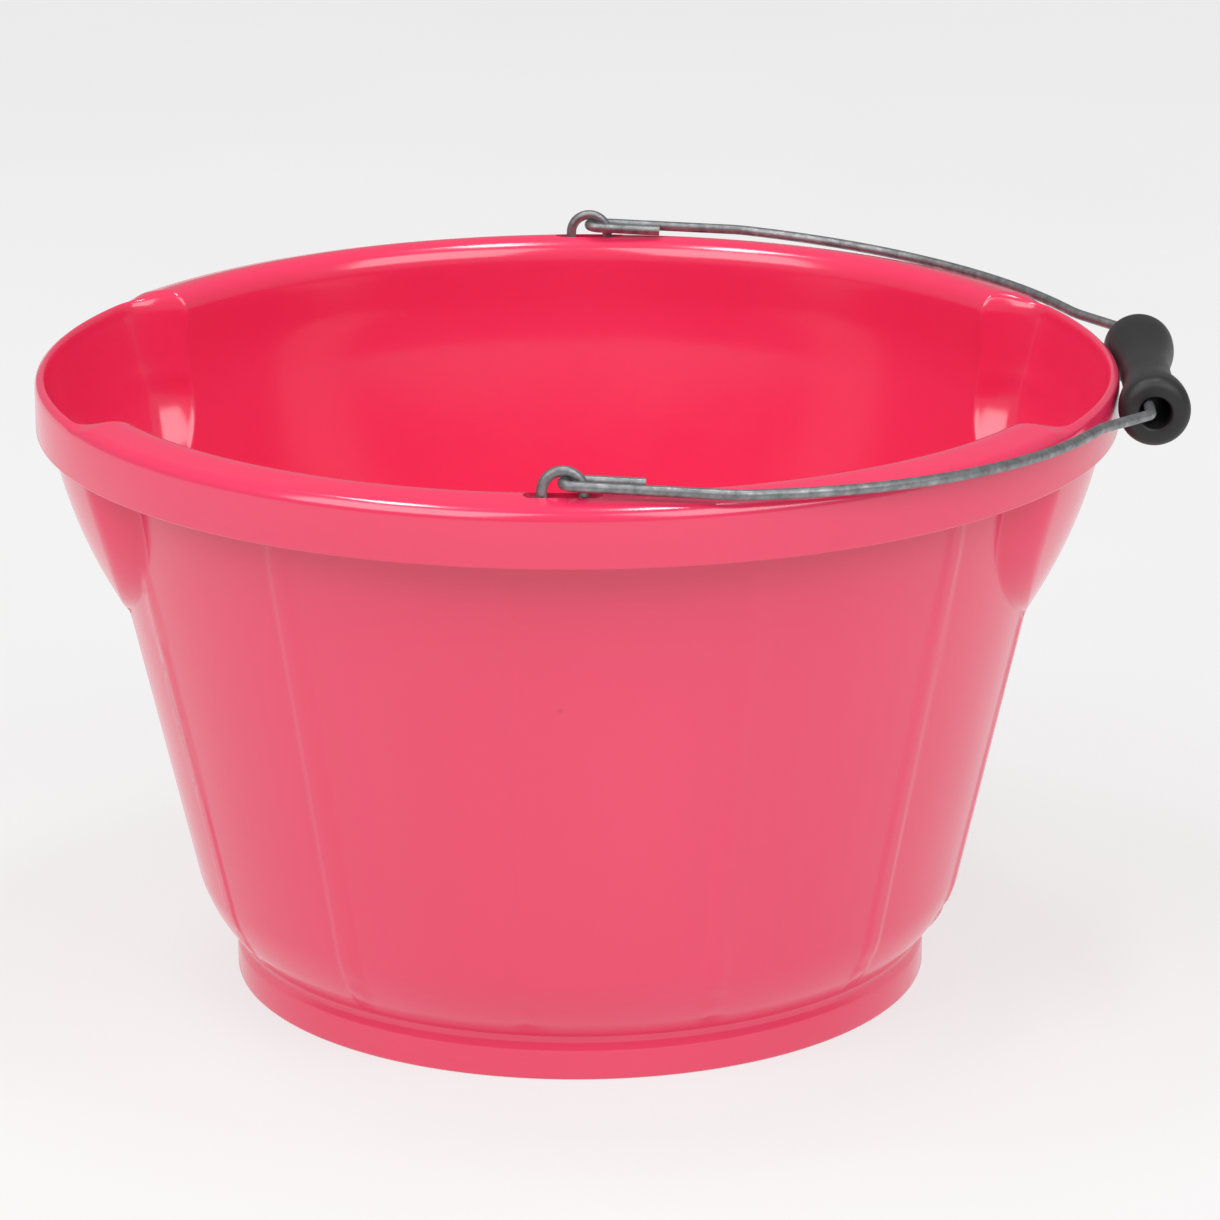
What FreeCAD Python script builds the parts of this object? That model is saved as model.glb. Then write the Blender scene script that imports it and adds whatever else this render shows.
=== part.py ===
"""Round wash bucket with two pouring lips, a wire bail and a loose plastic grip.

Millimetres.  +Z is up, the origin is the centre of the foot on the floor, the lips
face +X and -X, and the eyes that carry the bail stand on the rim at -Y and +Y.
"""
import FreeCAD, Part
import Sketcher
import math
import os

from FreeCAD import Placement, Rotation, Vector

DIMENSIONS = {
    # foot and floor
    "foot_radius": 129.5,
    "foot_height": 15.2,
    "foot_wall": 3.6,
    "neck_depth": 1.4,
    "bead_drop": 4.0,
    "bead_round": 4.0,
    "neck_lift": 0.4,
    "neck_round": 3.2,
    "foot_fillet": 2.0,
    "edge_round": 0.8,
    "foot_step": 8.1,
    "step_height": 15.8,
    "step_round": 45.0,
    "floor_wall": 3.0,
    "floor_inset": 2.4,
    "floor_round": 8.0,
    # side wall
    "wall": 2.6,
    "throat_drop": 32.5,
    "throat_round": 12.0,
    "rib_count": 13,
    "rib_turn": -6.6,
    "rib_width": 2.3,
    "rib_rise": 0.7,
    "rib_margin": 12.0,
    # rolled rim
    "rim_radius": 199.0,
    "rim_width": 21.6,
    "crest_height": 235.0,
    "roll_radius": 9.0,
    "rim_slope": 13.3,
    "shoulder_round": 4.5,
    "skirt_depth": 23.0,
    "web_wall": 2.2,
    "web_lift": 4.0,
    # pouring lips
    "lip_foot_inset": 36.3,
    "lip_foot_drop": 97.0,
    "lip_knee_inset": 11.7,
    "lip_knee_drop": 55.0,
    "lip_knee_round": 172.0,
    "lip_head_flare": 2.7,
    "lip_half_width": 94.0,
    "lip_side_drop": 35.0,
    "lip_keel_depth": 57.5,
    "fin_wall": 2.4,
    # galvanised wire
    "wire": 3.8,
    "seat_gap": 0.3,
    "eye_width": 14.2,
    "eye_bend": 5.0,
    "ear_reach": 52.0,
    "slot_length": 27.0,
    "slot_width": 5.6,
    # bail
    "bail_lift": 2.2,
    "hook_gap": 0.5,
    "hook_flat": 0.4,
    "hook_tail": 28.0,
    "bail_tilt": 2.865,
    "first_bend": 60.0,
    "first_bend_round": 25.0,
    "bail_clearance": 6.1,
    "bail_crown": 22.5,
    "bail_crown_round": 188.0,
    "reverse_round": 25.0,
    "bail_reach": 8.0,
    "grip_slack": 11.0,
    "corner_round": 5.5,
    # grip
    "grip_length": 98.0,
    "grip_end_radius": 13.0,
    "grip_waist_radius": 9.2,
    "grip_bore_radius": 5.8,
    "grip_end_land": 11.0,
    "grip_waist_land": 14.0,
    "grip_end_round": 4.8,
    "grip_mouth_round": 1.4,
    "grip_flank_round": 110.0,
}

CROWN_ANGLE = 48.0
REVERSE_ANGLE = 23.6
WEB_ANGLES = (22.5, 45.0)
UP = Vector(0, 0, 1)
ON_XZ = Placement(Vector(0, 0, 0), Rotation(Vector(1, 0, 0), 90))
ON_YZ = Placement(Vector(0, 0, 0), Rotation(Vector(1, 1, 1), 120))

doc = FreeCAD.newDocument("wash_bucket")
sheet = doc.addObject("Spreadsheet::Sheet", "Size")
for row, (alias, number) in enumerate(DIMENSIONS.items(), start=1):
    sheet.set("A%d" % row, alias)
    sheet.set("B%d" % row, str(number))
    sheet.setAlias("B%d" % row, alias)
doc.recompute()


# ---- derived sizes, as expressions of the sheet ---------------------------------------

SLOPE = "(Size.rim_slope * 1 deg)"
THROAT = "(Size.rim_radius - Size.rim_width)"
THROAT_OUTSIDE = "(%s + Size.wall)" % THROAT
THROAT_MIDDLE = "(%s + Size.wall / 2)" % THROAT
SKIRT_INSIDE = "(Size.rim_radius - Size.wall)"
WALL_FOOT_RADIUS = "(Size.foot_radius + Size.foot_step)"
STEP_TOP = "(Size.foot_height + Size.step_height)"
FLOOR_TOP = "(Size.foot_height + Size.floor_wall)"
THROAT_HEIGHT = "(Size.crest_height - Size.throat_drop)"
SKIRT_BOTTOM = "(Size.crest_height - Size.skirt_depth)"
LIP_FOOT_RADIUS = "(Size.rim_radius - Size.lip_foot_inset)"
LIP_FOOT_HEIGHT = "(Size.crest_height - Size.lip_foot_drop)"
LIP_KNEE_RADIUS = "(Size.rim_radius - Size.lip_knee_inset)"
LIP_KNEE_HEIGHT = "(Size.crest_height - Size.lip_knee_drop)"
LIP_HEAD_RADIUS = "(Size.rim_radius + Size.lip_head_flare)"
LIP_SIDE_HEIGHT = "(Size.crest_height - Size.lip_side_drop)"
ABOVE_RIM = "(Size.crest_height + 15)"
FILL_TOP = "(Size.crest_height - Size.roll_radius - Size.wall)"
# The rim's section is drawn with sharp corners that are then rounded.
PEAK = ("(Size.crest_height + Size.roll_radius * (tan{0} + 1 / cos{0} - 1))").format(SLOPE)
SHOULDER = "(%s - Size.rim_width * tan%s)" % (PEAK, SLOPE)
ROOF_INNER = "({1} - Size.wall * (tan{0} + 1 / cos{0}))".format(SLOPE, PEAK)
ROOF_OUTER = "({1} + Size.wall * (tan{0} - 1 / cos{0}))".format(SLOPE, SHOULDER)
CREST_RADIUS = "(%s + Size.roll_radius)" % THROAT
EAR_HEIGHT = "(Size.crest_height - Size.wall - Size.seat_gap - Size.wire / 2)"
WEB_BOTTOM = "(%s + Size.web_lift)" % SKIRT_BOTTOM
WEB_TOP = "(%s - Size.wire / 2 - Size.seat_gap)" % EAR_HEIGHT
HINGE_HEIGHT = "(Size.crest_height + Size.bail_lift + Size.wire / 2)"
EYE_TOP = "(%s + Size.wire + Size.seat_gap)" % HINGE_HEIGHT
HOOK_RADIUS = "(Size.wire + Size.hook_gap)"
HOOK_BEND = "(%s - Size.hook_flat / 2)" % HOOK_RADIUS
BORE_DROP = "(Size.grip_bore_radius - Size.wire / 2 - Size.seat_gap)"


def value(expression):
    """The number that an expression of the sheet comes to."""
    number = sheet.evalExpression(str(expression))
    return float(getattr(number, "Value", number))


def wall_radius(height):
    """Outer radius of the conical wall at a height, as an expression."""
    run = "({0} - Size.foot_height)".format(THROAT_HEIGHT)
    rise = "({0} - {1}) / {2}".format(THROAT_OUTSIDE, WALL_FOOT_RADIUS, run)
    return "({0} + ({1} - Size.foot_height) * {2})".format(WALL_FOOT_RADIUS, height, rise)


def lip_radius(height):
    """Outer radius of a lip's bowl at a height above its knee, as an expression."""
    run = "({0} - {1})".format(ABOVE_RIM, LIP_KNEE_HEIGHT)
    rise = "({0} - {1}) / {2}".format(LIP_HEAD_RADIUS, LIP_KNEE_RADIUS, run)
    return "({0} + ({1} - {2}) * {3})".format(LIP_KNEE_RADIUS, height, LIP_KNEE_HEIGHT, rise)


# ---- sketch helpers -------------------------------------------------------------------

def pin_coordinate(sketch, kind, geometry, end, expression):
    """Hold one coordinate of a point at an expression's value, on either side of zero."""
    amount = value(expression)
    if abs(amount) < 1e-9:
        axis = -2 if kind == "DistanceX" else -1
        sketch.addConstraint(Sketcher.Constraint("PointOnObject", geometry, end, axis))
        return
    if amount > 0:
        constraint = Sketcher.Constraint(kind, -1, 1, geometry, end, amount)
        bound = expression
    else:
        constraint = Sketcher.Constraint(kind, geometry, end, -1, 1, -amount)
        bound = "-(%s)" % expression
    index = sketch.addConstraint(constraint)
    sketch.setExpression("Constraints[%d]" % index, bound)


def pin_point(sketch, geometry, end, corner):
    pin_coordinate(sketch, "DistanceX", geometry, end, corner[0])
    pin_coordinate(sketch, "DistanceY", geometry, end, corner[1])


def corner_arc(before, corner, after, radius):
    """The two tangent points and the counter-clockwise arc that round one corner."""
    arriving = (before - corner).normalize()
    leaving = (after - corner).normalize()
    half = arriving.getAngle(leaving) / 2
    reach = radius / math.tan(half)
    start = corner + arriving * reach
    finish = corner + leaving * reach
    centre = corner + (arriving + leaving).normalize() * (radius / math.sin(half))
    turns_left = arriving.cross(leaving).z < 0
    first, last = (start, finish) if turns_left else (finish, start)
    angles = [math.atan2(end.y - centre.y, end.x - centre.x) for end in (first, last)]
    if angles[1] < angles[0]:
        angles[1] += 2 * math.pi
    arc = Part.ArcOfCircle(Part.Circle(centre, UP, radius), angles[0], angles[1])
    return start, finish, arc, turns_left


def rounded_path(sketch, corners, closed=True):
    """Straight lines through the corners, each (x, y, radius), rounded where a radius is given."""
    count = len(corners)
    points = [Vector(value(x), value(y), 0) for x, y, radius in corners]
    rounds = {}
    for index, (x, y, radius) in enumerate(corners):
        if radius is not None:
            following = points[(index + 1) % count]
            rounds[index] = corner_arc(points[index - 1], points[index], following, value(radius))
    line_count = count if closed else count - 1
    lines = []
    for index in range(line_count):
        following = (index + 1) % count
        start = rounds[index][1] if index in rounds else points[index]
        finish = rounds[following][0] if following in rounds else points[following]
        lines.append(sketch.addGeometry(Part.LineSegment(start, finish), False))
    for index in range(count):
        inside = closed or 0 < index < count - 1
        previous = lines[index - 1] if inside else None
        following = lines[index] if index < line_count else None
        if index in rounds:
            start, finish, arc, turns_left = rounds[index]
            bend = sketch.addGeometry(arc, False)
            near, far = (1, 2) if turns_left else (2, 1)
            sketch.addConstraint(Sketcher.Constraint("Tangent", previous, 2, bend, near))
            sketch.addConstraint(Sketcher.Constraint("Tangent", following, 1, bend, far))
            size = sketch.addConstraint(Sketcher.Constraint("Radius", bend, arc.Radius))
            sketch.setExpression("Constraints[%d]" % size, corners[index][2])
            mark = sketch.addGeometry(Part.Point(points[index]), True)
            pin_point(sketch, mark, 1, corners[index])
            sketch.addConstraint(Sketcher.Constraint("PointOnObject", mark, 1, previous))
            sketch.addConstraint(Sketcher.Constraint("PointOnObject", mark, 1, following))
        elif inside:
            sketch.addConstraint(Sketcher.Constraint("Coincident", previous, 2, following, 1))
            pin_point(sketch, following, 1, corners[index])
        elif index == 0:
            pin_point(sketch, lines[0], 1, corners[0])
        else:
            pin_point(sketch, lines[-1], 2, corners[-1])
    return line_count + len(rounds)


def free_sketch(name, placement, corners):
    sketch = doc.addObject("Sketcher::SketchObject", name)
    sketch.Placement = placement
    rounded_path(sketch, corners)
    return sketch


def body_sketch(body, name, plane):
    sketch = body.newObject("Sketcher::SketchObject", name)
    origin = [item for item in body.Origin.OriginFeatures if item.Role == plane][0]
    sketch.AttachmentSupport = [(origin, "")]
    sketch.MapMode = "FlatFace"
    return sketch


def turned(name, sketch, angle=360.0):
    """A solid turned from a sketch about the bucket's axis."""
    solid = doc.addObject("Part::Revolution", name)
    solid.Source = sketch
    solid.Axis = UP
    solid.Base = Vector(0, 0, 0)
    solid.Angle = angle
    solid.Solid = True
    return solid


def extruded(name, sketch, direction, length, symmetric=False):
    solid = doc.addObject("Part::Extrusion", name)
    solid.Base = sketch
    solid.DirMode = "Custom"
    solid.Dir = direction
    solid.setExpression("LengthFwd", length)
    solid.Solid = True
    solid.Symmetric = symmetric
    return solid


def joined(name, pieces):
    solid = doc.addObject("Part::MultiFuse", name)
    solid.Shapes = pieces
    solid.Refine = True
    return solid


def common(name, pieces):
    solid = doc.addObject("Part::MultiCommon", name)
    solid.Shapes = pieces
    return solid


def mirrored(name, source):
    """A copy of a piece on the other side of the plane between the lips."""
    copy = doc.addObject("Part::Mirroring", name)
    copy.Source = source
    copy.Normal = Vector(1, 0, 0)
    return copy


# ---- bucket body ----------------------------------------------------------------------

def bucket_blank():
    """Foot, wall, rim and skirt as one turned solid that is still filled inside."""
    neck = "(Size.foot_radius - Size.neck_depth)"
    foot_inside = "(Size.foot_radius - Size.foot_wall)"
    corners = [
        ("0", "Size.foot_height", None),
        (foot_inside, "Size.foot_height", "Size.foot_fillet"),
        (foot_inside, "0", None),
        ("Size.foot_radius", "0", "Size.edge_round"),
        ("Size.foot_radius", "Size.foot_height - Size.bead_drop", "Size.bead_round"),
        (neck, "Size.foot_height + Size.neck_lift", "Size.neck_round"),
        (wall_radius(STEP_TOP), STEP_TOP, "Size.step_round"),
        (THROAT_OUTSIDE, THROAT_HEIGHT, "Size.throat_round"),
        (THROAT_OUTSIDE, ROOF_INNER, "Size.roll_radius - Size.wall"),
        (SKIRT_INSIDE, ROOF_OUTER, None),
        (SKIRT_INSIDE, SKIRT_BOTTOM, "Size.edge_round"),
        ("Size.rim_radius", SKIRT_BOTTOM, "Size.edge_round"),
        ("Size.rim_radius", SHOULDER, "Size.shoulder_round"),
        (THROAT, PEAK, "Size.roll_radius"),
        (THROAT, FILL_TOP, None),
        ("0", FILL_TOP, None),
    ]
    return turned("blank", free_sketch("blank_section", ON_XZ, corners))


def lip_scoop(name, skin):
    """One lip as a flared ring, kept inside a trough with parallel sides and a half-oval keel."""
    foot = "({0} - {1})".format(LIP_FOOT_RADIUS, skin)
    knee = "({0} - {1})".format(LIP_KNEE_RADIUS, skin)
    head = "({0} - {1})".format(LIP_HEAD_RADIUS, skin)
    corners = [
        ("0", LIP_FOOT_HEIGHT, None),
        (foot, LIP_FOOT_HEIGHT, None),
        (knee, LIP_KNEE_HEIGHT, "Size.lip_knee_round"),
        (head, ABOVE_RIM, None),
        ("0", ABOVE_RIM, None),
    ]
    ring = turned(name + "_ring", free_sketch(name + "_section", ON_XZ, corners))
    half_width = "(Size.lip_half_width - {0})".format(skin)
    oval = doc.addObject("Part::Ellipse", name + "_oval")
    oval.setExpression("MajorRadius", half_width)
    oval.setExpression("MinorRadius", "Size.lip_keel_depth - {0}".format(skin))
    oval.Placement = ON_YZ
    oval.setExpression("Placement.Base.z", LIP_SIDE_HEIGHT)
    keel = extruded(name + "_keel", oval, Vector(1, 0, 0), "Size.rim_radius")
    sides = doc.addObject("Part::Box", name + "_sides")
    sides.setExpression("Length", "Size.rim_radius")
    sides.setExpression("Width", "2 * {0}".format(half_width))
    sides.setExpression("Height", "{0} - {1}".format(ABOVE_RIM, LIP_SIDE_HEIGHT))
    sides.setExpression("Placement.Base.y", "-{0}".format(half_width))
    sides.setExpression("Placement.Base.z", LIP_SIDE_HEIGHT)
    return common(name, [ring, joined(name + "_trough", [keel, sides])])


def rim_envelope():
    """Everything inside the middle of the skirt and of the rim's skin."""
    middle = "({0} + {1}) / 2"
    below_lips = "({0} - Size.wall)".format(LIP_FOOT_HEIGHT)
    skirt_middle = "(Size.rim_radius - Size.wall / 2)"
    corners = [
        ("0", below_lips, None),
        (skirt_middle, below_lips, None),
        (skirt_middle, middle.format(SHOULDER, ROOF_OUTER), "Size.shoulder_round - Size.wall / 2"),
        (THROAT_MIDDLE, middle.format(PEAK, ROOF_INNER), "Size.roll_radius - Size.wall / 2"),
        (THROAT_MIDDLE, THROAT_HEIGHT, None),
        ("0", THROAT_HEIGHT, None),
    ]
    return turned("rim_envelope", free_sketch("rim_envelope_section", ON_XZ, corners))


def lip_fin():
    """Upright fin that ties the middle of a lip to the skirt."""
    half_wall = "Size.wall / 2"
    foot = "({0} - {1})".format(LIP_KNEE_RADIUS, half_wall)
    head = "({0} - {1})".format(lip_radius(ROOF_OUTER), half_wall)
    skirt_middle = "(Size.rim_radius - {0})".format(half_wall)
    corners = [
        (foot, "{0} + Size.fin_wall".format(LIP_KNEE_HEIGHT), None),
        (skirt_middle, "{0} - Size.edge_round".format(SKIRT_BOTTOM), None),
        (skirt_middle, ROOF_OUTER, None),
        (head, ROOF_OUTER, None),
    ]
    outline = free_sketch("fin_outline", ON_XZ, corners)
    return extruded("lip_fin", outline, Vector(0, 1, 0), "Size.fin_wall", True)


def ribs():
    """Shallow upright ribs, evenly spaced round the wall."""
    low = "({0} + Size.rib_margin)".format(STEP_TOP)
    sunk = "(Size.wall / 2)"
    corners = [
        ("{0} - {1}".format(wall_radius(low), sunk), low, None),
        ("{0} + Size.rib_rise".format(wall_radius(low)), "{0} + 2 * Size.rib_rise".format(low), None),
        ("{0} + Size.rib_rise".format(THROAT_OUTSIDE), THROAT_HEIGHT, None),
        ("{0} + Size.rib_rise".format(THROAT_OUTSIDE), SKIRT_BOTTOM, None),
        ("{0} - {1}".format(THROAT_OUTSIDE, sunk), SKIRT_BOTTOM, None),
        ("{0} - {1}".format(THROAT_OUTSIDE, sunk), THROAT_HEIGHT, None),
    ]
    section = free_sketch("rib_section", ON_XZ, corners)
    pieces = []
    for index in range(int(value("Size.rib_count"))):
        rib = turned("rib_%d" % (index + 1), section)
        rib.setExpression("Angle", "Size.rib_width")
        turn = "360 * {0} / Size.rib_count + Size.rib_turn - Size.rib_width / 2".format(index)
        rib.setExpression("Placement.Rotation.Angle", "({0} - 90) * 1 deg".format(turn))
        rib.Placement.Rotation.Axis = UP
        pieces.append(rib)
    return pieces


def rim_webs():
    """Short webs between wall and skirt that the ear wires rest on."""
    pieces = []
    for middle in (90, 270):
        for angle in WEB_ANGLES:
            for side in (-1, 1):
                web = doc.addObject("Part::Box", "web_%d" % (len(pieces) + 1))
                web.setExpression("Length", "Size.rim_width - Size.wall")
                web.setExpression("Width", "Size.web_wall")
                web.setExpression("Height", "{0} - {1}".format(WEB_TOP, WEB_BOTTOM))
                turn = Rotation(UP, middle + side * angle)
                corner = Vector(value(THROAT) + value("Size.wall") / 2, -value("Size.web_wall") / 2, 0)
                lift = Vector(0, 0, value(WEB_BOTTOM))
                web.Placement = Placement(turn.multVec(corner) + lift, turn)
                pieces.append(web)
    return pieces


def bucket_hollow():
    """The space inside: floor, conical wall and straight throat, open upwards."""
    inner_step = "({0} + Size.wall / 2)".format(STEP_TOP)
    step_radius = "({0} - Size.wall)".format(wall_radius(inner_step))
    corners = [
        ("0", FLOOR_TOP, None),
        ("(Size.foot_radius - Size.floor_inset)", FLOOR_TOP, "Size.floor_round"),
        (step_radius, inner_step, "Size.step_round - Size.wall"),
        (THROAT, THROAT_HEIGHT, "Size.throat_round"),
        (THROAT, ABOVE_RIM, None),
        ("0", ABOVE_RIM, None),
    ]
    return turned("hollow", free_sketch("hollow_section", ON_XZ, corners))


def eye_slots():
    """One round-ended slot through the rim's crest at each eye."""
    pieces = []
    for index, side in enumerate((-1, 1)):
        for end in (-1, 1):
            hole = doc.addObject("Part::Cylinder", "slot_end_%d" % (len(pieces) + 1))
            hole.setExpression("Radius", "Size.slot_width / 2")
            hole.setExpression("Height", "Size.wall * 3")
            reach = "{0} * (Size.slot_length - Size.slot_width) / 2".format(end)
            hole.setExpression("Placement.Base.x", reach)
            hole.setExpression("Placement.Base.y", "{0} * {1}".format(side, CREST_RADIUS))
            hole.setExpression("Placement.Base.z", "Size.crest_height - Size.wall * 2")
            pieces.append(hole)
        middle = doc.addObject("Part::Box", "slot_middle_%d" % (index + 1))
        middle.setExpression("Length", "Size.slot_length - Size.slot_width")
        middle.setExpression("Width", "Size.slot_width")
        middle.setExpression("Height", "Size.wall * 3")
        middle.setExpression("Placement.Base.x", "(Size.slot_width - Size.slot_length) / 2")
        across = "{0} * {1} - Size.slot_width / 2".format(side, CREST_RADIUS)
        middle.setExpression("Placement.Base.y", across)
        middle.setExpression("Placement.Base.z", "Size.crest_height - Size.wall * 2")
        pieces.append(middle)
    return pieces


def make_bucket_body():
    bulge = common("lip_bulge", [lip_scoop("scoop_outside", "0"), rim_envelope()])
    fin = lip_fin()
    added = [bucket_blank(), bulge, mirrored("lip_bulge_left", bulge), fin, mirrored("lip_fin_left", fin)]
    outside = joined("outside", added + ribs() + rim_webs())
    hollow = lip_scoop("scoop_inside", "Size.wall")
    inside = joined("inside", [bucket_hollow(), hollow, mirrored("lip_hollow_left", hollow)] + eye_slots())
    body = doc.addObject("Part::Cut", "bucket_body")
    body.Base = outside
    body.Tool = inside
    body.Label = "bucket_body"
    return body


# ---- ear wires ------------------------------------------------------------------------

def ear_wire_shape():
    """A wire bent up into an eye at its middle, with an arm along the rim on each side."""
    wire_radius = value("Size.wire") / 2
    radius = value(CREST_RADIUS)
    bend = value("Size.eye_bend")
    half_eye = value("Size.eye_width") / 2
    low = value(EAR_HEIGHT)
    eye_centre = value(EYE_TOP) - half_eye
    start_angle = math.asin((half_eye + bend) / radius)
    reach = math.radians(value("Size.ear_reach"))

    def on_rim(angle):
        return Vector(radius * math.sin(angle), -radius * math.cos(angle), low)

    def side_edges(side):
        tip = on_rim(side * reach)
        halfway = on_rim(side * (reach + start_angle) / 2)
        arm_end = on_rim(side * start_angle)
        inward = Vector(-side * math.cos(start_angle), -math.sin(start_angle), 0)
        leg_foot = arm_end + inward * bend + UP * bend
        half_turn_up = UP * (bend * (1 - math.cos(math.pi / 4)))
        elbow = arm_end + inward * (bend * math.sin(math.pi / 4)) + half_turn_up
        leg_top = Vector(leg_foot.x, leg_foot.y, eye_centre)
        arm = Part.Arc(tip, halfway, arm_end).toShape()
        turn = Part.Arc(arm_end, elbow, leg_foot).toShape()
        leg = Part.LineSegment(leg_foot, leg_top).toShape()
        return [arm, turn, leg], leg_top

    left, left_top = side_edges(-1)
    right, right_top = side_edges(1)
    crown = Vector(0, left_top.y, eye_centre + right_top.x)
    loop = Part.Arc(left_top, crown, right_top).toShape()
    path = Part.Wire(Part.__sortEdges__(left + [loop] + right))
    tip = on_rim(-reach)
    along = Vector(math.cos(reach), math.sin(reach) * -1, 0)
    section = Part.Wire(Part.Circle(tip, along, wire_radius).toShape())
    return path.makePipeShell([section], True, True), path


def make_ear_wires():
    shape, path = ear_wire_shape()
    wires = []
    for name, turn in (("ear_wire_front", 0), ("ear_wire_back", 180)):
        wire = doc.addObject("Part::Feature", name)
        wire.Shape = shape.copy()
        wire.Placement = Placement(Vector(0, 0, 0), Rotation(UP, turn))
        wire.Label = name
        wires.append(wire)
    return wires, path.Length


# ---- bail -----------------------------------------------------------------------------

def polar(radius, angle):
    """A point at a radius and an angle in degrees, as two expressions."""
    return "{0} * cos({1} deg)".format(radius, angle), "{0} * sin({1} deg)".format(radius, angle)


def bail_corners():
    """Half of the bail's path, from one tail's end to the middle of the grip's stretch."""
    eye_radius = CREST_RADIUS
    tail_y = "({0} - {1})".format(eye_radius, HOOK_RADIUS)
    leg_y = "({0} + {1})".format(eye_radius, HOOK_RADIUS)
    crown_r = "(Size.rim_radius + Size.bail_crown)"
    reverse_r = "(Size.rim_radius + Size.bail_clearance)"
    stretch_x = "(Size.rim_radius + Size.bail_reach)"
    crown = polar(crown_r, CROWN_ANGLE)
    reverse = polar(reverse_r, REVERSE_ANGLE)
    return [
        ("Size.hook_tail", tail_y, None),
        ("0", tail_y, HOOK_BEND),
        ("0", leg_y, HOOK_BEND),
        ("Size.first_bend", leg_y, "Size.first_bend_round"),
        (crown[0], crown[1], "Size.bail_crown_round"),
        (reverse[0], reverse[1], "Size.reverse_round"),
        (stretch_x, "Size.grip_length / 2 + Size.grip_slack", "Size.corner_round"),
    ]


def make_bail_wire():
    body = doc.addObject("PartDesign::Body", "bail_wire")
    path = body_sketch(body, "bail_path", "XY_Plane")
    far_half = bail_corners()
    near_half = [(x, "-({0})".format(y), radius) for x, y, radius in far_half]
    edges = rounded_path(path, near_half + far_half[::-1], closed=False)
    section = body_sketch(body, "bail_section", "YZ_Plane")
    section.setExpression("AttachmentOffset.Base.z", far_half[0][0])
    circle_section(section, near_half[0][1], "Size.wire / 2")
    doc.recompute()
    pipe = body.newObject("PartDesign::AdditivePipe", "bail_pipe")
    pipe.Profile = section
    pipe.Spine = (path, ["Edge%d" % (index + 1) for index in range(edges)])
    pipe.Transition = "Round corner"
    body.Tip = pipe
    tilt = Rotation(Vector(0, 1, 0), value("Size.bail_tilt"))
    body.Placement = Placement(Vector(0, 0, value(HINGE_HEIGHT)), tilt)
    body.Label = "bail_wire"
    return body, path


def circle_section(sketch, centre_x, radius):
    place = Vector(value(centre_x), 0, 0)
    ring = sketch.addGeometry(Part.Circle(place, UP, value(radius)), False)
    pin_point(sketch, ring, 3, (centre_x, "0"))
    size = sketch.addConstraint(Sketcher.Constraint("Radius", ring, value(radius)))
    sketch.setExpression("Constraints[%d]" % size, radius)


# ---- grip -----------------------------------------------------------------------------

def make_grip():
    body = doc.addObject("PartDesign::Body", "grip")
    half = "Size.grip_length / 2"
    flank = "(Size.grip_length / 2 - Size.grip_end_land)"
    end_radius = "Size.grip_end_radius"
    waist = "Size.grip_waist_radius"
    bore = "Size.grip_bore_radius"
    corners = [
        (bore, half, "Size.grip_mouth_round"),
        (bore, "-({0})".format(half), "Size.grip_mouth_round"),
        (end_radius, "-({0})".format(half), "Size.grip_end_round"),
        (end_radius, "-{0}".format(flank), "Size.grip_flank_round / 2"),
        (waist, "-Size.grip_waist_land", "Size.grip_flank_round"),
        (waist, "Size.grip_waist_land", "Size.grip_flank_round"),
        (end_radius, flank, "Size.grip_flank_round / 2"),
        (end_radius, half, "Size.grip_end_round"),
    ]
    section = body_sketch(body, "grip_section", "XY_Plane")
    rounded_path(section, corners)
    doc.recompute()
    turn = body.newObject("PartDesign::Revolution", "grip_turned")
    turn.Profile = section
    turn.ReferenceAxis = (section, ["V_Axis"])
    turn.Angle = 360
    body.Tip = turn
    tilt = Rotation(Vector(0, 1, 0), value("Size.bail_tilt"))
    lean = value(BORE_DROP) * math.sin(math.pi / 4)
    offset = Vector(value("Size.rim_radius + Size.bail_reach") + lean, 0, -lean)
    body.Placement = Placement(tilt.multVec(offset) + Vector(0, 0, value(HINGE_HEIGHT)), tilt)
    body.Label = "grip"
    return body


# ---- build, check and write -----------------------------------------------------------

def check(objects):
    """Stop before anything is written if an object failed or a sub-part is not a valid solid."""
    for item in doc.Objects:
        if "Invalid" in item.State or "Error" in item.State:
            raise RuntimeError("%s did not build: %s" % (item.Name, item.State))
    for item in objects:
        if item.Shape.isNull() or not item.Shape.isValid() or not item.Shape.Solids:
            raise RuntimeError("%s has no valid solid" % item.Label)


bucket_body = make_bucket_body()
ear_wires, ear_path_length = make_ear_wires()
bail_wire, bail_path = make_bail_wire()
grip = make_grip()
sub_parts = [bucket_body] + ear_wires + [bail_wire, grip]
doc.recompute()
check(sub_parts)

wire_area = math.pi * (value("Size.wire") / 2) ** 2
for part, length in ((ear_wires[0], ear_path_length), (bail_wire, bail_path.Shape.Length)):
    print("%s volume / (section x length) = %.4f" % (part.Label, part.Shape.Volume / (wire_area * length)))
os.makedirs("parts", exist_ok=True)
for part in sub_parts:
    box = part.Shape.BoundBox
    print("%-16s %d solid(s) %9.0f mm3  x %.1f %.1f  y %.1f %.1f  z %.1f %.1f" % (
        part.Label, len(part.Shape.Solids), part.Shape.Volume,
        box.XMin, box.XMax, box.YMin, box.YMax, box.ZMin, box.ZMax))
    part.Shape.exportStep("parts/%s.step" % part.Label)
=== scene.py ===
"""Looks of a round pink wash bucket with two pouring lips, a wire bail and a loose black grip.

Metres.  +Z is up, the origin is the middle of the foot on the floor, the lips face +X and -X.
"""
import bpy
import bmesh
import math
from mathutils import Matrix, Vector


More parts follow.
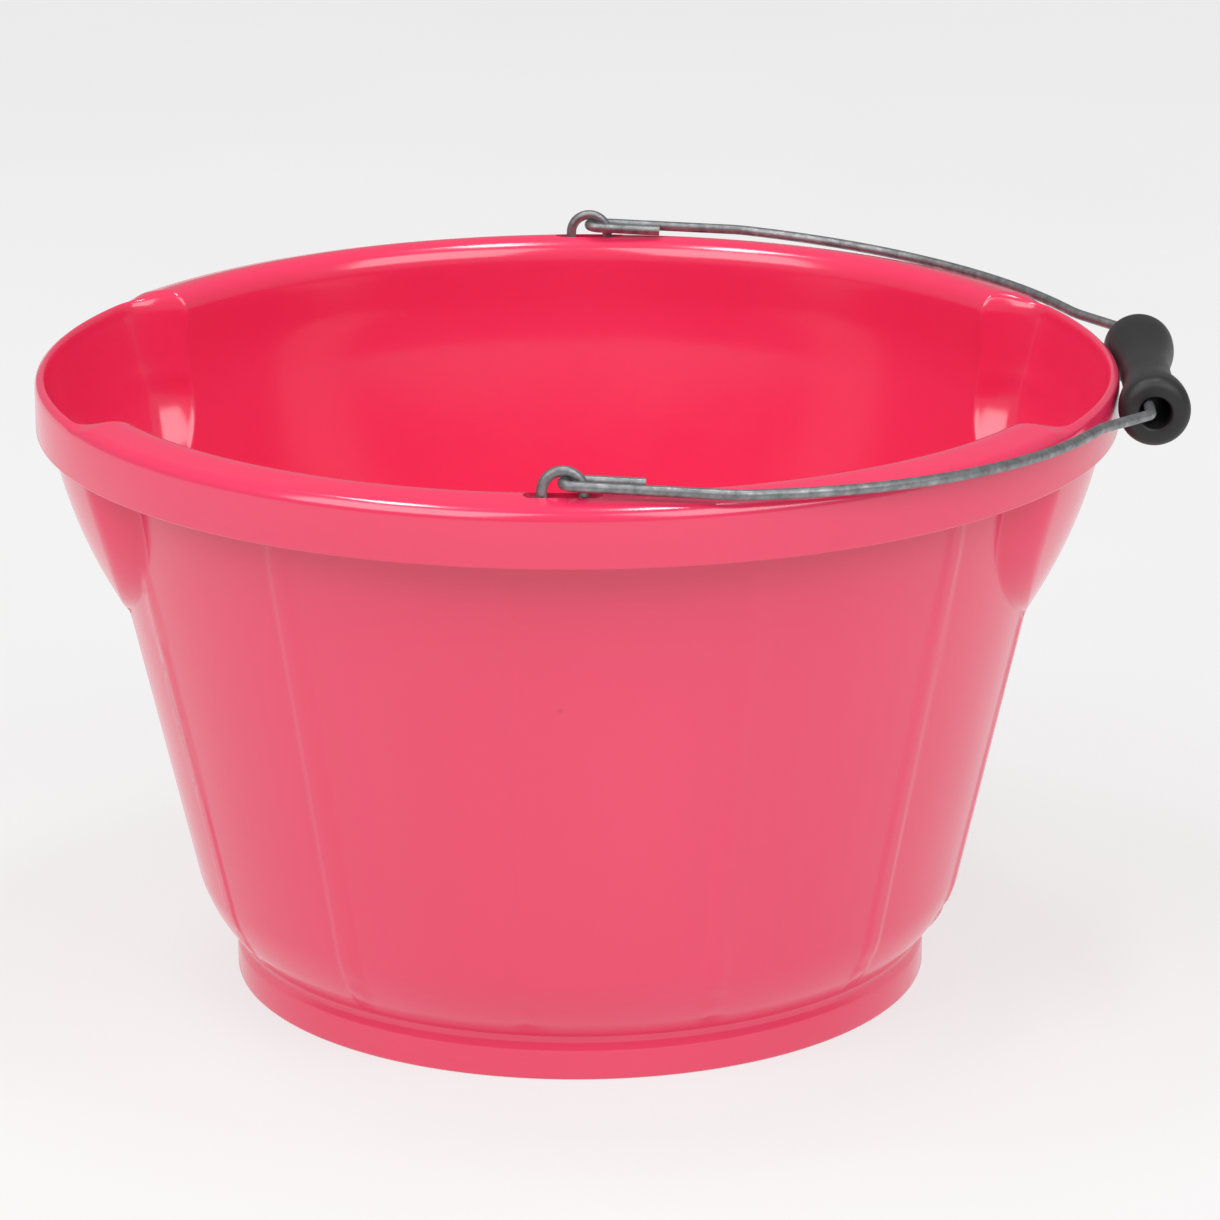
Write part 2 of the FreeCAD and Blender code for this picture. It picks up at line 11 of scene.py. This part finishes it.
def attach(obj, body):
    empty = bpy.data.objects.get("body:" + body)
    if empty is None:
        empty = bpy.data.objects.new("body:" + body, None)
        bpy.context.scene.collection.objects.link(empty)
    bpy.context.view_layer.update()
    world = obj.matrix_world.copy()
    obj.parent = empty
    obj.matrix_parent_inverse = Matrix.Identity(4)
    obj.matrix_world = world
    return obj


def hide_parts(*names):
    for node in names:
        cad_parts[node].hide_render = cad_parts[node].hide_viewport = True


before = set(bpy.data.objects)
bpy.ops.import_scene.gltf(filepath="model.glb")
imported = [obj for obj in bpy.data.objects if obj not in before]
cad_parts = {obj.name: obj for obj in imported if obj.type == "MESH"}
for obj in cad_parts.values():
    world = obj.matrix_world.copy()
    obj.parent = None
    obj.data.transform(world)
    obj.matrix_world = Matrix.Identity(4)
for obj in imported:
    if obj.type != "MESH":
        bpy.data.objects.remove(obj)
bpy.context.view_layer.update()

MM = 0.001

# The bucket's section, in millimetres.
FOOT_RADIUS = 129.5
FOOT_HEIGHT = 15.2
FOOT_RING_WALL = 3.6
FOOT_BEAD_DROP = 4.0
NECK_LIFT = 0.4
FLOOR_TOP = 18.2
FLOOR_RADIUS = 127.1
NECK_RADIUS = 128.1
STEP_TOP = 31.0
WALL = 2.6
WALL_LOW_RADIUS = 137.6
WALL_HIGH_RADIUS = 180.0
THROAT_RADIUS = 177.4
THROAT_HEIGHT = 202.5
RIM_RADIUS = 198.9
SKIRT_BOTTOM = 212.0
CREST_RADIUS = 186.4
CREST_HEIGHT = 235.0
ROOF_SLOPE = math.tan(math.radians(13.3))
PEAK = 237.38
ROLL_FOOT = 226.0
ROLL_RADIUS = 9.0
UNDER_ROOF_GAP = 0.2

# The lips.  Outer radius against height is two straight runs joined by an arc.  Seen from the
# front, a lip has upright sides above a half oval.
LIP_KNEE = (187.3, 180.0)
LIP_FOOT_SLOPE = 0.588
LIP_HEAD_SLOPE = 0.206
LIP_ARC_CENTRE = (24.3, 242.6)
LIP_ARC_RADIUS = 172.2
LIP_ARC_SPAN = (155.3, 207.8)
LIP_HALF_WIDTH = 94.0
LIP_SIDE_HEIGHT = 200.0
LIP_KEEL_DEPTH = 57.5
LIP_CORNER_BLEND = 20.0
LIP_EDGE_BLEND = 1.2
BRIM_RADIUS = 194.5
BRIM_HEIGHT = 232.0
UNDER_BRIM_DROP = 6.0

# The fins behind the lips and the webs under the ear wires.
FIN_WALL = 2.4
WEB_WALL = 2.2
WEB_BOTTOM = 216.0
WEB_TOP = 228.2
WEB_TURNS = (-45.0, -22.5, 22.5, 45.0)
FIN_EDGE = 0.5
WEB_EDGE = 0.4

# The slot that each wire eye stands in.
SLOT_LENGTH = 27.0
SLOT_WIDTH = 5.6
SLOT_CUT_BOTTOM = SKIRT_BOTTOM + 8.0
SLOT_CUT_HEIGHT = 40.0

# Longest steps of the section's line: short where the lips and ribs are shaped, long elsewhere.
SHAPED_STEP = 3.0
SHAPED_SPAN = (78.0, 226.0)
PLAIN_STEP = 16.0
FLOOR_STEP = 60.0
# Turns of a quarter of the shell, in degrees, and the steps in each: the lips' sides get short ones.
QUARTER_TURNS = [(26.0, 44), (7.0, 32), (24.0, 54), (33.0, 34)]
# The upright line of the mesh, in degrees from the X axis, that is slid onto a lip's outline, the
# least that it is slid to, and where the sliding ends.
LINE_TURN = 30.0
LEAST_TURN = 14.0
LAST_TURN = 52.0
# How far below and above the lip's lowest point the sliding grows to its full amount.
SLIDE_BELOW = 62.0
SLIDE_ABOVE = 4.0

RIB_COUNT = 13
RIB_TURN = -6.3
RIB_RISE = 0.75
RIB_FOOT = (19.5, 27.0)
RIB_FLANK = (2.2, 5.0)

CREASE_ANGLE = 65.0

# The camera's place in metres and its turns about X, Y and Z in degrees.
CAMERA_PLACE = (0.055856, -2.046947, 0.772811)
CAMERA_TURNS = (72.7325, 0.1922, 1.1750)


# ---- small helpers --------------------------------------------------------------------

def softly_larger(a, b, blend):
    """The larger of two lengths, with the corner between them rounded over `blend`."""
    h = max(blend - abs(a - b), 0.0) / blend
    return max(a, b) + h * h * blend / 4


def softly_smaller(a, b, blend):
    """The smaller of two lengths, with the corner between them rounded over `blend`."""
    return -softly_larger(-a, -b, blend)


def ease(value, low, high):
    """0 below `low`, 1 above `high`, and smooth between them."""
    t = min(max((value - low) / (high - low), 0.0), 1.0)
    return t * t * (3 - 2 * t)


def link_mesh(bm, name):
    """Puts a bmesh into the scene as an object, and frees it."""
    mesh = bpy.data.meshes.new(name)
    bm.to_mesh(mesh)
    bm.free()
    piece = bpy.data.objects.new(name, mesh)
    bpy.context.scene.collection.objects.link(piece)
    return piece


def new_verts(geometry):
    """The vertices among what an operator made."""
    return [item for item in geometry if isinstance(item, bmesh.types.BMVert)]


def finish_piece(bm, name, body, material):
    """Turns a bmesh in millimetres into a smooth-shaded piece that rides on a body."""
    bmesh.ops.scale(bm, vec=(MM, MM, MM), verts=bm.verts)
    piece = link_mesh(bm, name)
    for face in piece.data.polygons:
        face.use_smooth = True
    piece.data.materials.append(material)
    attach(piece, body)
    return piece


# ---- the bucket's shell ---------------------------------------------------------------

def wall_radius(height):
    """Outer radius of the conical wall."""
    rise = (WALL_HIGH_RADIUS - WALL_LOW_RADIUS) / (THROAT_HEIGHT - FOOT_HEIGHT)
    return WALL_LOW_RADIUS + (min(height, THROAT_HEIGHT) - FOOT_HEIGHT) * rise


def roof_height(radius):
    """Height of the rim's sloping top before its edges are rounded."""
    return PEAK - (radius - THROAT_RADIUS) * ROOF_SLOPE


def section_corners():
    """The section from the middle of the underside, out, up and back in: (radius, height, rounding)."""
    throat_outside = THROAT_RADIUS + WALL
    skirt_inside = RIM_RADIUS - WALL
    return [
        (0, FOOT_HEIGHT, 0),
        (FOOT_RADIUS - FOOT_RING_WALL, FOOT_HEIGHT, 2),
        (FOOT_RADIUS - FOOT_RING_WALL, 0, 1.2),
        (FOOT_RADIUS, 0, 1.4),
        (FOOT_RADIUS, FOOT_HEIGHT - FOOT_BEAD_DROP, 4),
        (NECK_RADIUS, FOOT_HEIGHT + NECK_LIFT, 3.2),
        (wall_radius(STEP_TOP), STEP_TOP, 45),
        (throat_outside, THROAT_HEIGHT, 90),
        (throat_outside, roof_height(throat_outside) - WALL - UNDER_ROOF_GAP, 5),
        (skirt_inside, roof_height(skirt_inside) - WALL - UNDER_ROOF_GAP, 2),
        (skirt_inside, SKIRT_BOTTOM, 0.9),
        (RIM_RADIUS, SKIRT_BOTTOM, 0.9),
        (RIM_RADIUS, roof_height(RIM_RADIUS), 5.0),
        (THROAT_RADIUS, roof_height(THROAT_RADIUS), 9),
        (THROAT_RADIUS, THROAT_HEIGHT, 90),
        (wall_radius(STEP_TOP + WALL / 2) - WALL, STEP_TOP + WALL / 2, 42),
        (FLOOR_RADIUS, FLOOR_TOP, 8),
        (0, FLOOR_TOP, 0),
    ]


def round_corner(bm, corner, radius, segments):
    """Rounds one corner of an open line of edges to a radius."""
    arms = [edge.other_vert(corner).co - corner.co for edge in corner.link_edges]
    turn = math.pi - arms[0].angle(arms[1])
    bmesh.ops.bevel(
        bm, geom=[corner], offset=radius * math.tan(turn / 2), offset_type="OFFSET",
        affect="VERTICES", segments=segments, profile=0.5, material=-1)


def longest_step(radius, height):
    """Longest edge that the section may have at a place."""
    if height < FLOOR_TOP + 1:
        return FLOOR_STEP
    on_wall = SHAPED_SPAN[0] < height < SHAPED_SPAN[1] and radius < RIM_RADIUS - WALL - 1
    return SHAPED_STEP if on_wall else PLAIN_STEP


def section_line(bm):
    """The section as a line of edges in the plane y = 0, rounded and cut into short steps."""
    corners = section_corners()
    points = [bm.verts.new((x, 0, z)) for x, z, radius in corners]
    for start, finish in zip(points, points[1:]):
        bm.edges.new((start, finish))
    for point, (x, z, radius) in zip(points, corners):
        if radius:
            round_corner(bm, point, radius, 3 if radius < 3 else 8)
    for edge in list(bm.edges):
        middle = (edge.verts[0].co + edge.verts[1].co) / 2
        cuts = int(edge.calc_length() / longest_step(middle.x, middle.z))
        if cuts:
            bmesh.ops.subdivide_edges(bm, edges=[edge], cuts=cuts)
    side_layer = bm.verts.layers.int.new("side")
    for vert in bm.verts:
        vert[side_layer] = wall_side(vert.co.x, vert.co.z)
    return side_layer


def lip_radius(height):
    """Outer radius of a lip's back at a height."""
    if height < LIP_ARC_SPAN[0]:
        return LIP_KNEE[0] + (height - LIP_KNEE[1]) * LIP_FOOT_SLOPE
    if height > LIP_ARC_SPAN[1]:
        return LIP_KNEE[0] + (height - LIP_KNEE[1]) * LIP_HEAD_SLOPE
    rise = height - LIP_ARC_CENTRE[1]
    return LIP_ARC_CENTRE[0] + math.sqrt(LIP_ARC_RADIUS * LIP_ARC_RADIUS - rise * rise)


def lip_half_width(height, skin):
    """Half the width of a lip at a height."""
    drop = max(LIP_SIDE_HEIGHT - height, 0.0) / (LIP_KEEL_DEPTH - skin)
    return (LIP_HALF_WIDTH - skin) * math.sqrt(max(1 - drop * drop, 0.0))


def lip_reach(x, y, height, skin):
    """How far from the bucket's axis a lip reaches in the direction of a point."""
    across = max(abs(y) / math.hypot(x, y), 0.01)
    back = min(lip_radius(height) - skin, BRIM_RADIUS + WALL - skin)
    side = lip_half_width(height, skin) / across
    return softly_smaller(back, side, LIP_CORNER_BLEND)


def rib_rise(x, y, height):
    """How far the ribs stand out of the wall."""
    pitch = 360.0 / RIB_COUNT
    turn = math.degrees(math.atan2(x, -y)) - RIB_TURN
    off = abs((turn + pitch / 2) % pitch - pitch / 2)
    across = math.radians(off) * math.hypot(x, y)
    return RIB_RISE * ease(height, *RIB_FOOT) * (1 - ease(across, *RIB_FLANK))


def shape_inside(vert):
    """Pushes the inner wall and the roll out into the lips."""
    x, y, z = vert.co
    distance = math.hypot(x, y)
    base = THROAT_RADIUS if z > THROAT_HEIGHT else wall_radius(z) - WALL
    pushed = softly_larger(base, lip_reach(x, y, z, WALL), LIP_EDGE_BLEND)
    if pushed <= base + 0.001:
        return
    share = (RIM_RADIUS - distance) / (RIM_RADIUS - base)
    radius = RIM_RADIUS - (RIM_RADIUS - pushed) * share
    vert.co.x *= radius / distance
    vert.co.y *= radius / distance
    if z > ROLL_FOOT:
        opened = ease(pushed, THROAT_RADIUS + 1.0, BRIM_RADIUS)
        squeeze = (BRIM_HEIGHT - ROLL_FOOT) / (CREST_HEIGHT - ROLL_FOOT)
        vert.co.z = ROLL_FOOT + (z - ROLL_FOOT) * (1 + (squeeze - 1) * opened)


def shape_outside(vert):
    """Pushes the outer wall out into the lips' bulges and raises the ribs."""
    x, y, z = vert.co
    distance = math.hypot(x, y)
    limit = max(RIM_RADIUS - WALL - 0.3, distance)
    pushed = min(softly_larger(distance, lip_reach(x, y, z, 0.0), LIP_EDGE_BLEND), limit)
    plain = 1 - ease(pushed - distance, 0.1, 1.5)
    radius = pushed + rib_rise(x, y, z) * plain
    vert.co.x *= radius / distance
    vert.co.y *= radius / distance
    if z > ROLL_FOOT:
        opened = ease(lip_reach(x, y, z, 0.0), THROAT_RADIUS + 2, BRIM_RADIUS - 3)
        vert.co.z -= UNDER_BRIM_DROP * opened


def wall_middle(height):
    """Radius halfway through the wall, along the step above the foot and the cone above it."""
    along = min((height - FOOT_HEIGHT) / (STEP_TOP - FOOT_HEIGHT), 1.0)
    step = NECK_RADIUS + (wall_radius(STEP_TOP) - NECK_RADIUS) * along - 1.8
    return step if height < STEP_TOP else wall_radius(height) - WALL / 2


def wall_side(radius, height):
    """Which skin a point of the section lies on.

    -1 is the inner wall and the top, 1 the outer wall and under the roof, and 0 neither.
    """
    if height < FLOOR_TOP + 1:
        return 0
    if height > ROLL_FOOT:
        from_roll = math.hypot(min(radius - CREST_RADIUS, 0.0), height - ROLL_FOOT)
        in_roll = radius < CREST_RADIUS and from_roll < ROLL_RADIUS - WALL / 2
        over_skirt = CREST_RADIUS <= radius < RIM_RADIUS - WALL / 2
        under_roof = over_skirt and height < roof_height(radius) - WALL / 2
        return 1 if in_roll or under_roof else -1
    if radius > RIM_RADIUS - WALL - 0.05:
        return 0
    return -1 if radius < wall_middle(height) else 1


def outline_turn(height, skin):
    """Angle from the X axis at which a lip's outline meets the wall at a height."""
    corner = math.degrees(math.asin(lip_half_width(height, skin) / wall_radius(height)))
    keel = LIP_SIDE_HEIGHT - LIP_KEEL_DEPTH
    grown = ease(height, keel - SLIDE_BELOW, keel + SLIDE_ABOVE)
    return LINE_TURN + (max(corner, LEAST_TURN) - LINE_TURN) * grown


def slide_to_outline(vert, skin):
    """Slides a point round the wall, so that one upright line of the mesh follows a lip's outline."""
    x, y, z = vert.co
    turn = math.degrees(math.atan2(abs(y), abs(x)))
    if turn >= LAST_TURN:
        return
    place = outline_turn(min(z, THROAT_HEIGHT), skin)
    if turn < LINE_TURN:
        slid = turn * place / LINE_TURN
    else:
        slid = place + (turn - LINE_TURN) * (LAST_TURN - place) / (LAST_TURN - LINE_TURN)
    distance = math.hypot(x, y)
    rim_share = min((RIM_RADIUS - distance) / (RIM_RADIUS - THROAT_RADIUS - WALL), 1.0)
    angle = math.radians(turn + (slid - turn) * rim_share)
    vert.co.x = math.copysign(distance * math.cos(angle), x)
    vert.co.y = math.copysign(distance * math.sin(angle), y)


def shape_lips_and_ribs(bm, side_layer):
    """Shapes each skin of the turned section into the lips and ribs."""
    for vert in bm.verts:
        if vert[side_layer] < 0:
            slide_to_outline(vert, WALL)
            shape_inside(vert)
        elif vert[side_layer] > 0:
            slide_to_outline(vert, 0.0)
            shape_outside(vert)


def turn_section(bm):
    """Turns the section right round, in short steps across the lips' sides and longer ones elsewhere."""
    line = list(bm.verts) + list(bm.edges)
    quarters = [QUARTER_TURNS, QUARTER_TURNS[::-1]] * 2
    for degrees, steps in [turn for quarter in quarters for turn in quarter]:
        turned = bmesh.ops.spin(
            bm, geom=line, cent=(0, 0, 0), axis=(0, 0, 1),
            angle=math.radians(degrees), steps=steps, use_merge=False)
        line = turned["geom_last"]
    bmesh.ops.remove_doubles(bm, verts=bm.verts, dist=0.01)
    bmesh.ops.recalc_face_normals(bm, faces=bm.faces)


def slot_cutter():
    """Two upright bars with round ends, where the wire eyes go through the top of the rim."""
    bm = bmesh.new()
    half_run = (SLOT_LENGTH - SLOT_WIDTH) / 2
    for side in (-1, 1):
        ring = bmesh.ops.create_circle(bm, cap_ends=True, radius=SLOT_WIDTH / 2, segments=40)["verts"]
        for vert in ring:
            vert.co.x += math.copysign(half_run, vert.co.x)
        bmesh.ops.translate(bm, verts=ring, vec=(0, side * CREST_RADIUS, SLOT_CUT_BOTTOM))
        faces = list({face for vert in ring for face in vert.link_faces})
        top = bmesh.ops.extrude_face_region(bm, geom=faces)["geom"]
        bmesh.ops.translate(bm, verts=new_verts(top), vec=(0, 0, SLOT_CUT_HEIGHT))
    bmesh.ops.recalc_face_normals(bm, faces=bm.faces)
    bmesh.ops.scale(bm, vec=(MM, MM, MM), verts=bm.verts)
    return link_mesh(bm, "slot_cutter")


def cut_slots(shell):
    """Cuts the slots and keeps their edges crisp."""
    cutter = slot_cutter()
    cut = shell.modifiers.new("slots", "BOOLEAN")
    cut.operation = "DIFFERENCE"
    cut.solver = "MANIFOLD"
    cut.object = cutter
    bpy.context.view_layer.update()
    whole = shell.data
    cut_shell = shell.evaluated_get(bpy.context.evaluated_depsgraph_get())
    shell.data = bpy.data.meshes.new_from_object(cut_shell)
    shell.modifiers.remove(cut)
    bpy.data.objects.remove(cutter)
    bpy.data.meshes.remove(whole)
    shell.data.name = "bucket_shell"
    shell.data.set_sharp_from_angle(angle=math.radians(CREASE_ANGLE))


def lip_fin(name, side, material):
    """Upright fin behind the middle of a lip, which ties it to the skirt."""
    bm = bmesh.new()
    skirt_middle = RIM_RADIUS - WALL / 2
    foot = LIP_KNEE[0] - WALL / 2
    head = min(lip_radius(ROLL_FOOT), RIM_RADIUS - WALL) - WALL / 2
    outline = [(foot, LIP_KNEE[1] + FIN_WALL), (skirt_middle, SKIRT_BOTTOM - 0.8),
               (skirt_middle, ROLL_FOOT - 1), (head, ROLL_FOOT - 1)]
    points = [bm.verts.new((side * x, -FIN_WALL / 2, z)) for x, z in outline]
    sheet = bmesh.ops.extrude_face_region(bm, geom=[bm.faces.new(points)])["geom"]
    bmesh.ops.translate(bm, verts=new_verts(sheet), vec=(0, FIN_WALL, 0))
    bmesh.ops.bevel(
        bm, geom=list(bm.edges), offset=FIN_EDGE, affect="EDGES", segments=2, profile=0.5, material=-1)
    bmesh.ops.recalc_face_normals(bm, faces=bm.faces)
    finish_piece(bm, name, "bucket", material)


def rim_web(name, turn, material):
    """Short web between wall and skirt that an ear wire rests on, at a turn about the axis."""
    bm = bmesh.new()
    inner = THROAT_RADIUS + WALL / 2
    outer = RIM_RADIUS - WALL / 2
    bmesh.ops.create_cube(bm, size=1.0)
    bmesh.ops.scale(bm, vec=(outer - inner, WEB_WALL, WEB_TOP - WEB_BOTTOM), verts=bm.verts)
    bmesh.ops.translate(bm, vec=((inner + outer) / 2, 0, (WEB_TOP + WEB_BOTTOM) / 2), verts=bm.verts)
    bmesh.ops.bevel(
        bm, geom=list(bm.edges), offset=WEB_EDGE, affect="EDGES", segments=2, profile=0.5, material=-1)
    about_axis = Matrix.Rotation(math.radians(turn), 3, "Z")
    bmesh.ops.rotate(bm, cent=(0, 0, 0), matrix=about_axis, verts=bm.verts)
    finish_piece(bm, name, "bucket", material)


def under_rim(material):
    """A fin behind each lip, which shows below the skirt, and four hidden webs under each ear wire."""
    lip_fin("lip_fin_right", 1, material)
    lip_fin("lip_fin_left", -1, material)
    for eye, middle in (("front", 270.0), ("back", 90.0)):
        for number, angle in enumerate(WEB_TURNS, start=1):
            rim_web("rim_web_%s_%d" % (eye, number), middle + angle, material)


def bucket_shell(material):
    """The whole plastic moulding except what stands under the rim."""
    bm = bmesh.new()
    side_layer = section_line(bm)
    turn_section(bm)
    shape_lips_and_ribs(bm, side_layer)
    shell = finish_piece(bm, "bucket_shell", "bucket", material)
    cut_slots(shell)
    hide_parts("bucket_body")


# ---- materials ------------------------------------------------------------------------

def new_material(name):
    material = bpy.data.materials.new(name)
    material.use_nodes = True
    tree = material.node_tree
    shader = tree.nodes["Principled BSDF"]
    return material, tree, shader


def object_noise(tree, scale, detail=3.0, roughness=0.5, stretch=(1, 1, 1)):
    """A noise texture on Object coordinates."""
    coordinates = tree.nodes.new("ShaderNodeTexCoord")
    mapping = tree.nodes.new("ShaderNodeMapping")
    mapping.inputs["Scale"].default_value = stretch
    noise = tree.nodes.new("ShaderNodeTexNoise")
    noise.inputs["Scale"].default_value = scale
    noise.inputs["Detail"].default_value = detail
    noise.inputs["Roughness"].default_value = roughness
    tree.links.new(coordinates.outputs["Object"], mapping.inputs["Vector"])
    tree.links.new(mapping.outputs["Vector"], noise.inputs["Vector"])
    return noise


def ramp(tree, source, stops):
    node = tree.nodes.new("ShaderNodeValToRGB")
    elements = node.color_ramp.elements
    while len(elements) < len(stops):
        elements.new(0.5)
    for element, (place, colour) in zip(elements, stops):
        element.position = place
        element.color = colour
    tree.links.new(source, node.inputs["Fac"])
    return node


def grey(level):
    return (level, level, level, 1)


def sparse_specks(tree):
    """A few tiny dark dots moulded into the plastic, as a colour to multiply by."""
    coordinates = tree.nodes.new("ShaderNodeTexCoord")
    cells = tree.nodes.new("ShaderNodeTexVoronoi")
    cells.inputs["Scale"].default_value = 15.0
    tree.links.new(coordinates.outputs["Object"], cells.inputs["Vector"])
    return ramp(tree, cells.outputs["Distance"], [(0.012, (0.66, 0.50, 0.54, 1)), (0.024, grey(1))])


def bump(tree, shader, height, strength, distance, before=None):
    node = tree.nodes.new("ShaderNodeBump")
    node.inputs["Strength"].default_value = strength
    node.inputs["Distance"].default_value = distance
    tree.links.new(height, node.inputs["Height"])
    if before:
        tree.links.new(before.outputs["Normal"], node.inputs["Normal"])
    tree.links.new(node.outputs["Normal"], shader.inputs["Normal"])
    return node


def pink_plastic():
    """Moulded polyethylene: glossy, slightly wavy, with faint flow marks and a few dark specks."""
    material, tree, shader = new_material("pink_moulded_plastic")
    flow = object_noise(tree, 9.0, 4.0, 0.55, (1, 1, 0.35))
    tint = ramp(tree, flow.outputs["Fac"], [
        (0.25, (0.850, 0.028, 0.106, 1)),
        (0.55, (0.870, 0.032, 0.116, 1)),
        (0.8, (0.890, 0.038, 0.126, 1))])
    specks = sparse_specks(tree)
    mixer = tree.nodes.new("ShaderNodeMix")
    mixer.data_type = "RGBA"
    mixer.blend_type = "MULTIPLY"
    mixer.inputs["Factor"].default_value = 1.0
    tree.links.new(tint.outputs["Color"], mixer.inputs["A"])
    tree.links.new(specks.outputs["Color"], mixer.inputs["B"])
    tree.links.new(mixer.outputs["Result"], shader.inputs["Base Color"])
    wear = object_noise(tree, 26.0, 5.0, 0.6)
    gloss = ramp(tree, wear.outputs["Fac"], [(0.3, grey(0.13)), (0.75, grey(0.19))])
    tree.links.new(gloss.outputs["Color"], shader.inputs["Roughness"])
    shader.inputs["IOR"].default_value = 1.5
    shader.inputs["Specular IOR Level"].default_value = 1.0
    waves = object_noise(tree, 14.0, 2.0, 0.4, (1, 1, 0.5))
    first = bump(tree, shader, waves.outputs["Fac"], 0.10, 0.004)
    grain = object_noise(tree, 900.0, 2.0, 0.5)
    bump(tree, shader, grain.outputs["Fac"], 0.03, 0.0002, first)
    return material


def galvanised_wire():
    """Zinc-dipped wire: dull, mottled and a little lumpy."""
    material, tree, shader = new_material("galvanised_wire")
    mottle = object_noise(tree, 220.0, 6.0, 0.65)
    tint = ramp(tree, mottle.outputs["Fac"], [
        (0.30, (0.16, 0.165, 0.17, 1)),
        (0.50, (0.27, 0.275, 0.285, 1)),
        (0.72, (0.42, 0.43, 0.44, 1))])
    tree.links.new(tint.outputs["Color"], shader.inputs["Base Color"])
    shader.inputs["Metallic"].default_value = 0.85
    gloss = ramp(tree, mottle.outputs["Fac"], [(0.3, grey(0.52)), (0.7, grey(0.36))])
    tree.links.new(gloss.outputs["Color"], shader.inputs["Roughness"])
    lumps = object_noise(tree, 480.0, 3.0, 0.6)
    bump(tree, shader, lumps.outputs["Fac"], 0.35, 0.0004)
    return material


def black_grip_plastic():
    """Satin black plastic with a fine moulded grain."""
    material, tree, shader = new_material("black_grip_plastic")
    cloud = object_noise(tree, 60.0, 4.0, 0.6)
    tint = ramp(tree, cloud.outputs["Fac"], [
        (0.3, (0.010, 0.010, 0.011, 1)),
        (0.75, (0.020, 0.020, 0.022, 1))])
    tree.links.new(tint.outputs["Color"], shader.inputs["Base Color"])
    gloss = ramp(tree, cloud.outputs["Fac"], [(0.3, grey(0.42)), (0.75, grey(0.52))])
    tree.links.new(gloss.outputs["Color"], shader.inputs["Roughness"])
    grain = object_noise(tree, 1500.0, 3.0, 0.6)
    bump(tree, shader, grain.outputs["Fac"], 0.25, 0.0002)
    return material


def dress(node, material):
    """Gives a CAD node a finished material."""
    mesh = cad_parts[node].data
    mesh.materials.clear()
    mesh.materials.append(material)


# ---- floor, light and camera ----------------------------------------------------------

def studio_floor():
    bm = bmesh.new()
    bmesh.ops.create_grid(bm, x_segments=1, y_segments=1, size=9.0)
    floor = link_mesh(bm, "studio_floor")
    material, tree, shader = new_material("pale_floor")
    cloud = object_noise(tree, 3.0, 2.0, 0.5)
    tint = ramp(tree, cloud.outputs["Fac"], [(0.3, grey(0.22)), (0.7, grey(0.24))])
    tree.links.new(tint.outputs["Color"], shader.inputs["Base Color"])
    shader.inputs["Roughness"].default_value = 0.9
    shader.inputs["Specular IOR Level"].default_value = 0.0
    shader.inputs["Emission Color"].default_value = (1, 1, 1, 1)
    shader.inputs["Emission Strength"].default_value = 0.68
    floor.data.materials.append(material)


def soft_light(name, place, target, size, power):
    data = bpy.data.lights.new(name, "AREA")
    data.shape = "RECTANGLE"
    data.size = size[0]
    data.size_y = size[1]
    data.energy = power
    light = bpy.data.objects.new(name, data)
    light.location = place
    light.rotation_euler = (Vector(target) - Vector(place)).to_track_quat("-Z", "Y").to_euler()
    bpy.context.scene.collection.objects.link(light)


def studio_light():
    world = bpy.data.worlds.new("studio")
    world.use_nodes = True
    world.node_tree.nodes["Background"].inputs["Color"].default_value = (1, 1, 1, 1)
    world.node_tree.nodes["Background"].inputs["Strength"].default_value = 0.32
    bpy.context.scene.world = world
    rim = (0, 0, 0.235)
    soft_light("strip_left", (-0.76, 0.0, 2.3), rim, (0.7, 0.32), 10)
    soft_light("strip_right", (0.36, 0.0, 2.4), rim, (0.7, 0.28), 9)
    soft_light("front_left", (-1.6, -1.9, 2.4), rim, (2.4, 2.2), 48)
    soft_light("front_right", (1.7, -1.9, 2.4), rim, (2.4, 2.2), 46)


def camera():
    data = bpy.data.cameras.new("camera")
    data.sensor_width = 36.0
    data.lens = 169.76
    data.clip_end = 50.0
    eye = bpy.data.objects.new("camera", data)
    eye.location = CAMERA_PLACE
    eye.rotation_euler = [math.radians(angle) for angle in CAMERA_TURNS]
    bpy.context.scene.collection.objects.link(eye)
    bpy.context.scene.camera = eye


plastic = pink_plastic()
wire = galvanised_wire()
bucket_shell(plastic)
under_rim(plastic)
dress("bucket_body", plastic)
for wire_piece in ("ear_wire_front", "ear_wire_back", "bail_wire"):
    dress(wire_piece, wire)
dress("grip", black_grip_plastic())
studio_floor()
studio_light()
camera()
bpy.context.scene.view_settings.view_transform = "Standard"

bpy.context.view_layer.update()
